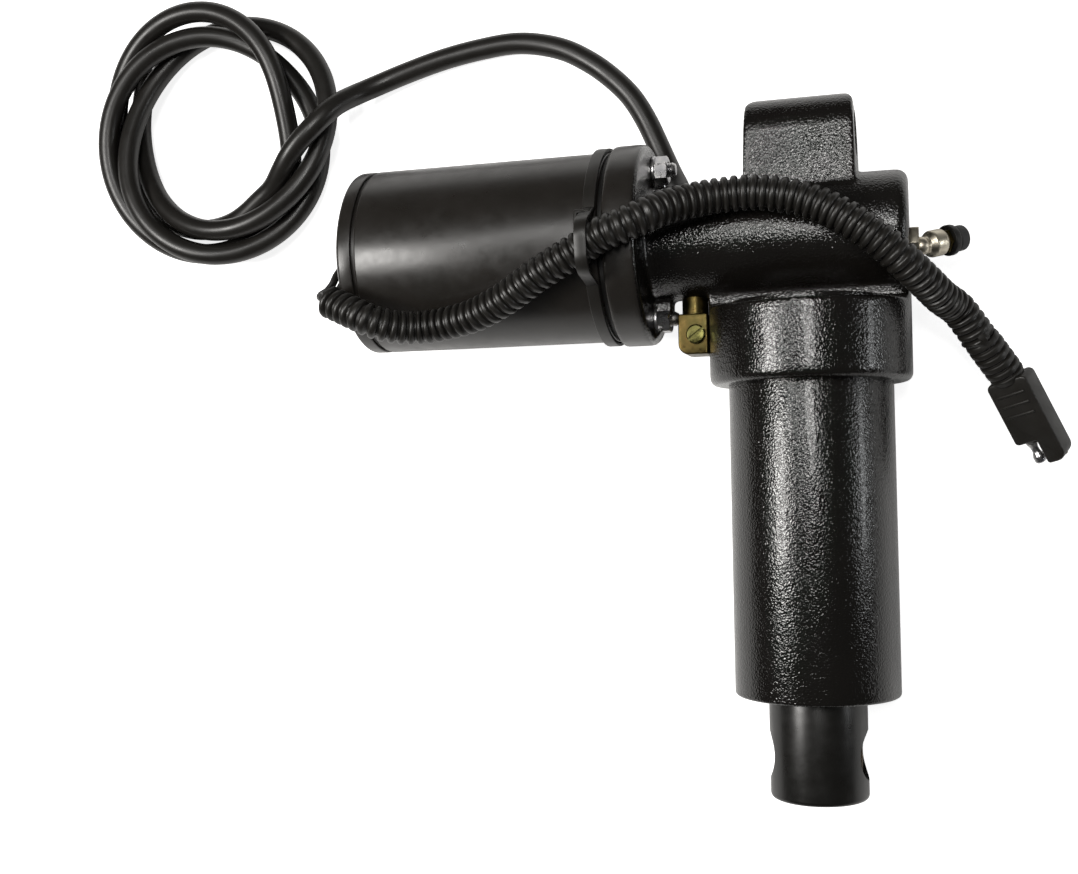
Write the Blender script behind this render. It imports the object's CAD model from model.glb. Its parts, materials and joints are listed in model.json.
"""Looks of the outboard bracket tilt actuator.

Every piece is modelled in millimetres in the part's own frame and is brought to metres when it
is finished. The origin lies on the upper eye's axis, X runs along the motor, the ram pushes
toward minus Y, and Z points up from the table that the unit lies on.
"""

from __future__ import annotations

import json
import logging
import math
from dataclasses import dataclass, field
from enum import Enum
from functools import cache
from typing import Sequence

import bmesh
import bpy
from mathutils import Matrix, Vector
from mathutils.geometry import convex_hull_2d

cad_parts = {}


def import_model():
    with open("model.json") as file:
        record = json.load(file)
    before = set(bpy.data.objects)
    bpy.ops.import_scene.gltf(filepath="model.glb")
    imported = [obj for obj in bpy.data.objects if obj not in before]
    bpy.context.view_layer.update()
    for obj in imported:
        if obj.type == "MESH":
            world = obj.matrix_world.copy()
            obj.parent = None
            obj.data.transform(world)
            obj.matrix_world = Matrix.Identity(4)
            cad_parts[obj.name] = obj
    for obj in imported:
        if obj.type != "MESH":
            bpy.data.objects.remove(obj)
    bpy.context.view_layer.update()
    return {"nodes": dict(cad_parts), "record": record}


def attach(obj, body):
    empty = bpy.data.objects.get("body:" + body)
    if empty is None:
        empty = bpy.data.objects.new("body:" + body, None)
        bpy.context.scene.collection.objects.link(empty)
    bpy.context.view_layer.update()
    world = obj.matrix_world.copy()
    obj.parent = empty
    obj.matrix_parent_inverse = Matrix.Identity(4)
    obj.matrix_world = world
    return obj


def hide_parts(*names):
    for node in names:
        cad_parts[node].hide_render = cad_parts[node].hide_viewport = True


LOG = logging.getLogger("tilt_actuator")

Point = tuple[float, float]
Triple = tuple[float, float, float]
Corner = Sequence[float]
Points = Sequence[Sequence[float]]
Solid = bmesh.types.BMesh
Node = bpy.types.Node
Tree = bpy.types.NodeTree
Object = bpy.types.Object
MM = 0.001

# What several pieces share, in millimetres: the motor lies along X at MOTOR_Y, depths down the
# ram count from the upper eye, and a name that ends with _R is a radius.
TABLE_Z = -39.3
MOTOR_Y = -38.5
MOTOR_R = 38.0
CAP_REAR = -183.5
TUBE_END = 38.4
PORT_Y = -5.0
VALVE_X = -44.3
CHAMBER = 64.5
BARREL_R = 31.4
HOSE_R = 6.65
PIN_R = 6.4
BUSH_SEAT_R = 8.7
BOLT_CIRCLE_R = 30.0
BOLT_HOLE_R = 3.3
PASSAGE_R = 1.6


# ---- places

def moved(to: Sequence[float]) -> Matrix:
    """Returns a move to a point."""
    return Matrix.Translation(to)


def lifted(height: float) -> Matrix:
    """Returns a move along z."""
    return moved((0, 0, height))


def turned(degrees: float, axis: str) -> Matrix:
    """Returns a turn about one axis, in degrees."""
    return Matrix.Rotation(math.radians(degrees), 4, axis)


def on_ram(depth: float, x: float = 0.0) -> Matrix:
    """Returns the place whose z runs down the ram from a depth below the upper eye."""
    return moved((x, -depth, 0)) @ turned(90, "X")


def along_x(x: float, y: float, z: float = 0.0) -> Matrix:
    """Returns the place whose z runs along X from a point."""
    return moved((x, y, z)) @ turned(90, "Y")


def on_motor(x: float) -> Matrix:
    """Returns the place whose z runs along the motor's axis from x."""
    return along_x(x, MOTOR_Y)


def spot(x: float, y: float, z: float) -> Vector:
    """Returns a dataclass field that holds a point."""
    return field(default_factory=lambda: Vector((x, y, z)))


# ---- shapes

def rounded(corners: Sequence[Corner], closed: bool = False, steps: int = 5) -> list[Point]:
    """Rounds the corners of a flat line.

    Args:
        corners: Points, each with the radius wanted there if it is rounded.
        closed: Whether the line closes on itself.
        steps: Parts of each rounded corner.

    Returns:
        The points of the rounded line.
    """
    out: list[Point] = []
    count = len(corners)
    for i, (x, y, *more) in enumerate(corners):
        radius = more[0] if more else 0
        here = Vector((x, y))
        if radius <= 0 or (not closed and i in (0, count - 1)):
            out.append((x, y))
            continue
        before = Vector(corners[i - 1][:2]) - here
        after = Vector(corners[(i + 1) % count][:2]) - here
        half = before.angle(after) / 2
        reach = min(radius / math.tan(half), 0.49 * before.length, 0.49 * after.length)
        radius = reach * math.tan(half)
        start = here + before.normalized() * reach
        end = here + after.normalized() * reach
        middle = here + (before.normalized() + after.normalized()).normalized() * (
            radius / math.sin(half))
        first, last = start - middle, end - middle
        for k in range(steps + 1):
            spoke = first.lerp(last, k / steps).normalized() * radius
            if first.angle(last) > 0.05:
                a = first.angle_signed(last)
                spoke = Matrix.Rotation(-a * k / steps, 2) @ first
            point = middle + spoke
            out.append((point.x, point.y))
    return out


def lathe(corners: Sequence[Corner], place: Matrix, sides: int = 96, parts: int = 5,
          closed: bool = False) -> Solid:
    """Turns a line of corners, given by radius and height, about z.

    Args:
        corners: The half outline, from pole to pole, or closed for a ring.
        place: Where the turned shape goes.
        sides: Sides of the full turn.
        parts: Parts of each rounded corner.
        closed: Whether the outline closes on itself.

    Returns:
        The turned shape.
    """
    bm = bmesh.new()
    verts = [bm.verts.new((max(r, 0.0), 0, h)) for r, h in rounded(corners, closed, parts)]
    edges = [bm.edges.new(pair) for pair in zip(verts, verts[1:])]
    if closed:
        edges.append(bm.edges.new((verts[-1], verts[0])))
    bmesh.ops.spin(bm, geom=verts + edges, cent=(0, 0, 0), axis=(0, 0, 1),
                   angle=2 * math.pi, steps=sides, use_merge=True)
    bmesh.ops.remove_doubles(bm, verts=bm.verts, dist=1e-4)
    bmesh.ops.recalc_face_normals(bm, faces=bm.faces)
    bmesh.ops.transform(bm, matrix=place, verts=bm.verts)
    return bm


def disc(radius: float, height: float, place: Matrix, sides: int = 96, foot: float = 0.0,
         top: float = 0.0) -> Solid:
    """Returns a solid disc, whose rims at its foot and its top may be rounded."""
    return lathe([(0, 0), (radius, 0, foot), (radius, height, top), (0, height)], place, sides)


def raised(outline: Sequence[Point], height: float, place: Matrix) -> Solid:
    """Raises a flat outline into a solid.

    Args:
        outline: The points of the outline.
        height: How far it rises along z.
        place: Where the solid goes.

    Returns:
        The solid.
    """
    bm = bmesh.new()
    face = bm.faces.new([bm.verts.new((x, y, 0)) for x, y in outline])
    grown = bmesh.ops.extrude_face_region(bm, geom=[face])
    bmesh.ops.translate(bm, vec=(0, 0, height), verts=[
        v for v in grown["geom"] if isinstance(v, bmesh.types.BMVert)])
    bmesh.ops.recalc_face_normals(bm, faces=bm.faces)
    bmesh.ops.transform(bm, matrix=place, verts=bm.verts)
    return bm


def block(size: Triple, edge: float, place: Matrix,
          segments: int = 3) -> Solid:
    """Makes a block about the origin of its place.

    Args:
        size: Its size along x, y and z.
        edge: Radius of its edges.
        place: Where the block goes.
        segments: Parts of each rounded edge.

    Returns:
        The block.
    """
    bm = bmesh.new()
    bmesh.ops.create_cube(bm, size=1.0)
    bmesh.ops.scale(bm, vec=size, verts=bm.verts)
    if edge > 0:
        bmesh.ops.bevel(bm, geom=bm.edges[:], offset=edge, segments=segments, profile=0.5,
                        affect="EDGES", material=-1)
    bmesh.ops.transform(bm, matrix=place, verts=bm.verts)
    return bm


def hexagon(flats: float, turn: float = 0.0) -> list[Point]:
    """Draws a hexagon.

    Args:
        flats: Its width across flats.
        turn: How far it is turned, in degrees.

    Returns:
        Its corners.
    """
    r = flats / 2 / math.cos(math.radians(30))
    return [(r * math.cos(math.radians(60 * i + turn)), r * math.sin(math.radians(60 * i + turn)))
            for i in range(6)]


def soften(bm: Solid, width: float, segments: int = 2,
           sharper_than: float = 30.0) -> Solid:
    """Rounds every edge that is sharper than an angle.

    Args:
        bm: The shape.
        width: Width of the rounding.
        segments: Parts of each rounded edge.
        sharper_than: The angle in degrees.

    Returns:
        The same shape.
    """
    limit = math.radians(sharper_than)
    edges = [e for e in bm.edges if len(e.link_faces) == 2 and e.calc_face_angle() > limit]
    bmesh.ops.bevel(bm, geom=edges, offset=width, segments=segments, profile=0.5,
                    affect="EDGES", material=-1, clamp_overlap=True)
    return bm


def new_object(name: str, data: bpy.types.ID) -> Object:
    """Makes an object that stands in the scene.

    Args:
        name: The object's name.
        data: Its mesh, curve, lamp or camera.

    Returns:
        The object.
    """
    obj = bpy.data.objects.new(name, data)
    bpy.context.scene.collection.objects.link(obj)
    return obj


def evaluated(obj: Object) -> bpy.types.Mesh:
    """Copies an object as its modifiers leave it.

    Args:
        obj: The object.

    Returns:
        A new mesh.
    """
    graph = bpy.context.evaluated_depsgraph_get()
    graph.update()
    return bpy.data.meshes.new_from_object(obj.evaluated_get(graph))


def opened(mesh: bpy.types.Mesh) -> Solid:
    """Opens a mesh to be worked on.

    Args:
        mesh: The mesh, which stays.

    Returns:
        Its shape.
    """
    bm = bmesh.new()
    bm.from_mesh(mesh)
    return bm


def closed_up(bm: Solid, mesh: bpy.types.Mesh) -> None:
    """Writes a shape into a mesh and uses it up."""
    bm.to_mesh(mesh)
    bm.free()


class Cut(Enum):
    """How one solid acts on another."""

    TAKE = "DIFFERENCE"
    KEEP = "INTERSECT"
    JOIN = "UNION"


class Piece:
    """One piece while it is made, in millimetres."""

    def __init__(self, name: str, *solids: Solid) -> None:
        """Joins some solids into one new object.

        Args:
            name: The object's name.
            solids: The solids, which are used up.
        """
        mesh = bpy.data.meshes.new(name)
        whole = bmesh.new()
        for solid in solids:
            part = bpy.data.meshes.new("part")
            closed_up(solid, part)
            whole.from_mesh(part)
            bpy.data.meshes.remove(part)
        closed_up(whole, mesh)
        self.obj = new_object(name, mesh)

    def taken(self) -> Solid:
        """Takes the shape out of the piece, whose object goes.

        Returns:
            The shape.
        """
        bm = opened(self.obj.data)
        self.drop()
        return bm

    def drop(self) -> None:
        """Removes the piece's object and its mesh."""
        mesh = self.obj.data
        bpy.data.objects.remove(self.obj)
        bpy.data.meshes.remove(mesh)

    def apply(self) -> "Piece":
        """Makes the modifiers part of the mesh.

        Returns:
            The piece.
        """
        mesh, old = evaluated(self.obj), self.obj.data
        self.obj.modifiers.clear()
        self.obj.data = mesh
        bpy.data.meshes.remove(old)
        return self

    def cut(self, how: Cut, *tools: Solid) -> "Piece":
        """Cuts the piece with some solids, one after another.

        Args:
            how: What the solids do to the piece.
            tools: The solids, which are used up.

        Returns:
            The piece.
        """
        made = [Piece("tool", tool) for tool in tools]
        for tool in made:
            step = self.obj.modifiers.new("cut", "BOOLEAN")
            step.object, step.operation, step.solver = tool.obj, how.value, "MANIFOLD"
        self.apply()
        for tool in made:
            tool.drop()
        return self

    def melt(self, voxel: float, passes: int) -> "Piece":
        """Melts overlapping solids into one skin with soft inner corners.

        Args:
            voxel: Width of the skin's cells.
            passes: Rounds of smoothing.

        Returns:
            The piece.
        """
        skin = self.obj.modifiers.new("skin", "REMESH")
        skin.mode, skin.voxel_size, skin.use_smooth_shade = "VOXEL", voxel, True
        ease = self.obj.modifiers.new("ease", "SMOOTH")
        ease.factor, ease.iterations = 0.5, passes
        return self.apply()

    def done(self, finish: "Finish", *nodes: str, body: str = "housing",
             crease: float = 32.0) -> Object:
        """Brings the piece to metres, dresses it and gives it its body and its slot.

        Args:
            finish: The finish, which also names the slot.
            nodes: The solids that it stands for.
            body: The body that it rides on.
            crease: Angle above which an edge stays sharp.

        Returns:
            The finished object.
        """
        mesh = self.obj.data
        bm = opened(mesh)
        bmesh.ops.remove_doubles(bm, verts=bm.verts, dist=1e-5)
        bmesh.ops.scale(bm, vec=(MM, MM, MM), verts=bm.verts)
        closed_up(bm, mesh)
        mesh.materials.clear()
        mesh.materials.append(finish.make())
        mesh.shade_smooth()
        mesh.set_sharp_from_angle(angle=math.radians(crease))
        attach(self.obj, body)
        if nodes:
            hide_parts(*nodes)
        LOG.info("%s: %d faces", self.obj.name, len(mesh.polygons))
        return self.obj


# ---- lines and cords

class Route:
    """A smooth line through given points."""

    @staticmethod
    def between(a: Vector, b: Vector, c: Vector, d: Vector, u: float) -> Vector:
        """Returns the point at share u of the stretch from b to c."""
        return 0.5 * (2 * b + (c - a) * u + (2 * a - 5 * b + 4 * c - d) * u * u
                      + (3 * b - a - 3 * c + d) * u * u * u)

    @staticmethod
    def smooth(points: Points, start: Vector, end: Vector, steps: int = 8) -> list[Vector]:
        """Draws the smooth line.

        Args:
            points: The points that it passes.
            start: Its direction at the first point.
            end: Its direction at the last point.
            steps: Parts of each stretch.

        Returns:
            The points of the line.
        """
        given = [Vector(p) for p in points]
        before = given[1] - 2 * start * (given[1] - given[0]).length
        after = given[-2] + 2 * end * (given[-1] - given[-2]).length
        p = [before, *given, after]
        line = [Route.between(*p[i:i + 4], k / steps)
                for i in range(len(given) - 1) for k in range(steps)]
        return line + [given[-1]]

    @staticmethod
    def length(line: Sequence[Vector]) -> float:
        """Returns the length of a line."""
        return sum((b - a).length for a, b in zip(line, line[1:]))

    @staticmethod
    def even(line: Sequence[Vector], count: int) -> list[Vector]:
        """Divides a line into equal steps.

        Args:
            line: The line.
            count: How many steps.

        Returns:
            The same line in these steps.
        """
        total = Route.length(line)
        out, i, run = [], 0, 0.0
        for k in range(count + 1):
            want = total * k / count
            while i < len(line) - 2 and run + (line[i + 1] - line[i]).length < want:
                run += (line[i + 1] - line[i]).length
                i += 1
            stretch = (line[i + 1] - line[i]).length
            out.append(line[i].lerp(line[i + 1], min(1.0, (want - run) / stretch)))
        return out

    @staticmethod
    def eased(line: Sequence[Vector], passes: int) -> list[Vector]:
        """Eases the small kinks of a line.

        Args:
            line: The line.
            passes: Rounds of easing.

        Returns:
            The eased line, with the same ends.
        """
        out = list(line)
        for _ in range(passes):
            out = out[:2] + [0.25 * a + 0.5 * b + 0.25 * c for a, b, c in
                             zip(out[1:], out[2:], out[3:])] + out[-2:]
        return out

    @staticmethod
    def normals(line: Sequence[Vector], first: Vector) -> list[Vector]:
        """Carries a normal along a line without twist.

        Args:
            line: The line.
            first: The normal at its start.

        Returns:
            A normal at each point.
        """
        out, n = [], first
        for i, _ in enumerate(line):
            t = (line[min(i + 1, len(line) - 1)] - line[max(i - 1, 0)]).normalized()
            n = (n - n.dot(t) * t).normalized()
            out.append(n)
        return out


def swept(name: str, line: Sequence[Vector], radii: Sequence[float], sides: int = 20) -> Piece:
    """Sweeps a circle along a line.

    Args:
        name: The piece's name.
        line: The points of the line.
        radii: The radius at each point, or one radius for all.
        sides: Sides of the circle, an even number from 6 up.

    Returns:
        The swept piece, closed at both ends.
    """
    curve = bpy.data.curves.new(name, "CURVE")
    curve.dimensions, curve.bevel_depth, curve.use_fill_caps = "3D", 1.0, True
    curve.bevel_resolution, curve.twist_mode = (sides - 4) // 2, "MINIMUM"
    spline = curve.splines.new("POLY")
    spline.points.add(len(line) - 1)
    for i, p in enumerate(line):
        spline.points[i].co = (p.x, p.y, p.z, 1)
        spline.points[i].radius = radii[i % len(radii)]
    holder = new_object("sweep", curve)
    mesh = evaluated(holder)
    bpy.data.objects.remove(holder)
    bpy.data.curves.remove(curve)
    bm = opened(mesh)
    bpy.data.meshes.remove(mesh)
    bmesh.ops.remove_doubles(bm, verts=bm.verts, dist=1e-4)
    bmesh.ops.recalc_face_normals(bm, faces=bm.faces)
    return Piece(name, bm)


# ---- finishes

def feed(node: Node, values: dict) -> Node:
    """Fills a node's inputs.

    Args:
        node: The node.
        values: By input, the value that it holds or the socket that feeds it.

    Returns:
        The node.
    """
    for name, value in values.items():
        if isinstance(value, bpy.types.NodeSocket):
            node.id_data.links.new(value, node.inputs[name])
        else:
            node.inputs[name].default_value = value
    return node


def add_node(tree: Tree, kind: str, values: dict,
             operation: str = "") -> Node:
    """Adds a shader node.

    Args:
        tree: The tree that it joins.
        kind: Its type.
        values: What fills its inputs, as for feed.
        operation: Its operation, if it has one.

    Returns:
        The node.
    """
    node = tree.nodes.new("ShaderNode" + kind)
    if operation:
        node.operation = operation
    return feed(node, values)


class Relief(Enum):
    """The small relief that a finish has."""

    HAMMER = "hammered paint"
    PAINT = "smooth paint"
    MOULD = "moulded skin"
    TURNED = "turned metal"


class Effects:
    """The node groups that the finishes share, each built once."""

    octaves = {Relief.PAINT: 1.0, Relief.MOULD: 2.0, Relief.TURNED: 4.0}

    @staticmethod
    def group(name: str, inputs: dict[str, str], outputs: dict[str, str]) -> Tree:
        """Starts a node group.

        Args:
            name: The group's name.
            inputs: Kinds of its inputs, by name.
            outputs: Kinds of its outputs, by name.

        Returns:
            The group, with its input and output nodes named "in" and "out".
        """
        tree = bpy.data.node_groups.new(name, "ShaderNodeTree")
        for way, sockets in (("INPUT", inputs), ("OUTPUT", outputs)):
            for title, kind in sockets.items():
                tree.interface.new_socket(title, in_out=way, socket_type="NodeSocket" + kind)
        tree.nodes.new("NodeGroupInput").name = "in"
        tree.nodes.new("NodeGroupOutput").name = "out"
        return tree

    @staticmethod
    def noise(tree: Tree, detail: float, factor: float = 1.0) -> Node:
        """Adds noise on the group's position.

        Args:
            tree: The group, whose size gives the features per metre.
            detail: Octaves of the noise.
            factor: How much finer than the size the noise is.

        Returns:
            The noise node.
        """
        given = tree.nodes["in"].outputs
        scale = add_node(tree, "Math", {0: given["Size"], 1: factor}, "MULTIPLY")
        return add_node(tree, "TexNoise", {
            "Detail": detail, "Vector": given["Position"], "Scale": scale.outputs[0]})

    @classmethod
    @cache
    def relief(cls, kind: Relief) -> Tree:
        """Builds the group that makes a relief from a position and a size.

        Args:
            kind: Which relief.

        Returns:
            The group.
        """
        tree = cls.group(kind.value, {"Position": "Vector", "Size": "Float"}, {"Height": "Float"})
        if kind is Relief.HAMMER:
            given = tree.nodes["in"].outputs
            bend = 0.0012
            wave = cls.noise(tree, 1.0, 0.6)
            bent = add_node(tree, "VectorMath", {0: wave.outputs["Color"], 1: (bend, bend, bend),
                                                 2: given["Position"]}, "MULTIPLY_ADD")
            cell = tree.nodes.new("ShaderNodeTexVoronoi")
            cell.feature = "SMOOTH_F1"
            feed(cell, {"Smoothness": 0.6, "Vector": bent.outputs[0], "Scale": given["Size"]})
            soft = cls.noise(tree, 1.5, 1.3)
            height = add_node(tree, "Math", {0: cell.outputs["Distance"], 1: soft.outputs["Fac"]},
                              "ADD").outputs[0]
        else:
            height = cls.noise(tree, cls.octaves[kind]).outputs["Fac"]
        feed(tree.nodes["out"], {"Height": height})
        return tree

    @classmethod
    @cache
    def drift(cls) -> Tree:
        """Builds the group that drifts a colour and a gloss over the surface.

        Returns:
            The group.
        """
        tree = cls.group("drift", {
            "Position": "Vector", "Size": "Float", "Colour": "Color", "Second Colour": "Color",
            "Smoothest": "Float", "Roughest": "Float"}, {"Colour": "Color", "Roughness": "Float"})
        given = tree.nodes["in"].outputs
        patch = add_node(tree, "MapRange", {
            "From Min": 0.35, "From Max": 0.7, "Value": cls.noise(tree, 4.0).outputs["Fac"]})
        mix = tree.nodes.new("ShaderNodeMix")
        mix.data_type = "RGBA"
        feed(mix, {"Factor": patch.outputs["Result"], "A": given["Colour"],
                   "B": given["Second Colour"]})
        level = add_node(tree, "MapRange", {
            "From Min": 0.3, "From Max": 0.7, "Value": cls.noise(tree, 5.0, 2.7).outputs["Fac"],
            "To Min": given["Smoothest"], "To Max": given["Roughest"]})
        colour = next(socket for socket in mix.outputs if socket.type == "RGBA")
        feed(tree.nodes["out"], {"Colour": colour, "Roughness": level.outputs["Result"]})
        return tree


@dataclass(frozen=True)
class Finish:
    """One finish: its colours, its gloss and its small relief."""

    title: str
    slot: str
    colour: Triple
    second: Triple
    gloss: tuple[float, float]
    metal: float = 0.0
    coat: float = 0.0
    coat_rough: float = 0.08
    specular: float = 0.5
    relief: Relief = Relief.PAINT
    features: float = 500.0
    depth: float = 0.00001
    patches: float = 60.0
    stretch: Triple = (1.0, 1.0, 1.0)

    @cache
    def make(self) -> bpy.types.Material:
        """Builds the material.

        Returns:
            The material, which is made once for each finish.
        """
        material = bpy.data.materials.new(self.title)
        material.use_nodes = True
        material.diffuse_color = (*self.colour, 1.0)
        tree = material.node_tree
        place = add_node(tree, "TexCoord", {}).outputs["Object"]
        drift = tree.nodes.new("ShaderNodeGroup")
        drift.node_tree = Effects.drift()
        feed(drift, {
            "Size": self.patches, "Colour": (*self.colour, 1.0), "Position": place,
            "Second Colour": (*self.second, 1.0), "Smoothest": self.gloss[0],
            "Roughest": self.gloss[1]})
        lay = add_node(tree, "Mapping", {"Scale": self.stretch, "Vector": place})
        grain = tree.nodes.new("ShaderNodeGroup")
        grain.node_tree = Effects.relief(self.relief)
        feed(grain, {"Size": self.features, "Position": lay.outputs["Vector"]})
        bump = add_node(tree, "Bump", {
            "Strength": 1.0, "Distance": self.depth, "Height": grain.outputs["Height"]})
        feed(tree.nodes["Principled BSDF"], {
            "Metallic": self.metal, "Coat Weight": self.coat, "Coat Roughness": self.coat_rough,
            "Specular IOR Level": self.specular, "Base Color": drift.outputs["Colour"],
            "Roughness": drift.outputs["Roughness"], "Normal": bump.outputs["Normal"]})
        return material


@dataclass(frozen=True)
class Hammered(Finish):
    """Gloss black paint with the soft bumps of hammer paint."""

    coat: float = 0.1
    relief: Relief = Relief.HAMMER
    patches: float = 45.0


@dataclass(frozen=True)
class Metal(Finish):
    """Bare or plated metal with the marks of turning."""

    metal: float = 1.0
    relief: Relief = Relief.TURNED
    features: float = 900.0


@dataclass(frozen=True)
class Moulded(Finish):
    """Rubber or plastic with a moulded skin."""

    relief: Relief = Relief.MOULD
    features: float = 900.0


GLOSS_BLACK = (0.0050, 0.0044, 0.0038), (0.0062, 0.0055, 0.0048), (0.12, 0.18)


class Finishes:
    """Every finish of the unit. The first one of a slot also dresses its hidden solids."""

    casting = Hammered("hammered_black_paint", "cast_black", *GLOSS_BLACK, features=1150.0,
                       depth=0.00013)
    ram_paint = Hammered("gloss_black_paint", "black_paint", *GLOSS_BLACK, features=1200.0,
                         depth=0.00012)
    plain_paint = Finish("plain_black_paint", "black_paint", (0.0048, 0.0046, 0.0040),
                         (0.0062, 0.0058, 0.0050), (0.26, 0.36), features=300.0, depth=0.00002)
    motor_paint = Finish("satin_black_paint", "satin_black", (0.0110, 0.0096, 0.0080),
                         (0.0135, 0.0116, 0.0100), (0.27, 0.36), features=420.0, depth=0.000012)
    steel = Metal("ground_steel", "steel", (0.60, 0.60, 0.61), (0.55, 0.55, 0.56),
                  (0.14, 0.28), depth=0.000008, stretch=(1.0, 14.0, 1.0))
    dark_steel = Metal("black_steel", "dark_steel", (0.20, 0.20, 0.21), (0.15, 0.15, 0.16),
                       (0.30, 0.48), features=600.0)
    zinc = Metal("bright_zinc_plate", "zinc_plate", (0.56, 0.55, 0.54), (0.38, 0.38, 0.40),
                 (0.22, 0.40), patches=240.0)
    olive_zinc = Metal("olive_zinc_plate", "zinc_plate", (0.090, 0.085, 0.028),
                       (0.06, 0.055, 0.02), (0.22, 0.40), patches=300.0)
    yellow = Metal("yellow_plate", "yellow_metal", (0.075, 0.052, 0.018),
                   (0.045, 0.040, 0.014), (0.26, 0.44), features=700.0, patches=200.0)
    alloy = Metal("machined_alloy", "light_alloy", (0.62, 0.63, 0.64), (0.52, 0.53, 0.54),
                  (0.25, 0.42), features=800.0)
    bronze = Metal("bearing_bronze", "bronze", (0.10, 0.075, 0.050), (0.06, 0.048, 0.034),
                   (0.30, 0.46), features=800.0, stretch=(14.0, 1.0, 1.0))
    copper = Metal("wound_copper", "copper", (0.72, 0.36, 0.18), (0.52, 0.24, 0.11),
                   (0.22, 0.40), features=1200.0)
    carbon = Moulded("brush_carbon", "carbon", (0.03, 0.03, 0.032), (0.05, 0.05, 0.052),
                     (0.45, 0.62), features=2200.0, depth=0.000004)
    rubber = Moulded("soft_rubber", "black_rubber", (0.007, 0.0068, 0.0064),
                     (0.010, 0.0098, 0.0092), (0.40, 0.55), specular=0.35, features=1500.0,
                     depth=0.000005)
    knob = Moulded("grey_black_rubber", "black_rubber", (0.020, 0.020, 0.020),
                   (0.030, 0.030, 0.031), (0.50, 0.68), features=1400.0)
    jacket = Moulded("vinyl_jacket", "cable_jacket", (0.0098, 0.0089, 0.0078),
                     (0.0120, 0.0109, 0.0096), (0.31, 0.39), specular=0.4, features=300.0)
    hose = Moulded("ribbed_nylon", "hose_plastic", (0.0098, 0.0089, 0.0076),
                   (0.0120, 0.0109, 0.0094), (0.34, 0.44), specular=0.4, depth=0.000005)
    plug = Moulded("moulded_plug", "plug_plastic", (0.0090, 0.0082, 0.0068),
                   (0.0120, 0.0108, 0.0090), (0.36, 0.50), specular=0.4, features=1600.0,
                   depth=0.000008)
    fitting = Metal("nickel_plate", "zinc_plate", (0.66, 0.61, 0.50), (0.52, 0.47, 0.38),
                    (0.30, 0.45), patches=240.0)
    pale = Moulded("cream_plastic", "pale_plastic", (0.66, 0.63, 0.54), (0.60, 0.57, 0.48),
                   (0.35, 0.5))
    holder = Moulded("brush_plastic", "holder_plastic", (0.035, 0.034, 0.036),
                     (0.05, 0.048, 0.05), (0.38, 0.55), features=1200.0)

    @classmethod
    def by_slot(cls) -> dict[str, Finish]:
        """Sorts the finishes by slot.

        Returns:
            The first finish of each slot.
        """
        found: dict[str, Finish] = {}
        for value in vars(cls).values():
            if isinstance(value, Finish):
                found.setdefault(value.slot, value)
        return found


# ---- cords

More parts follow.
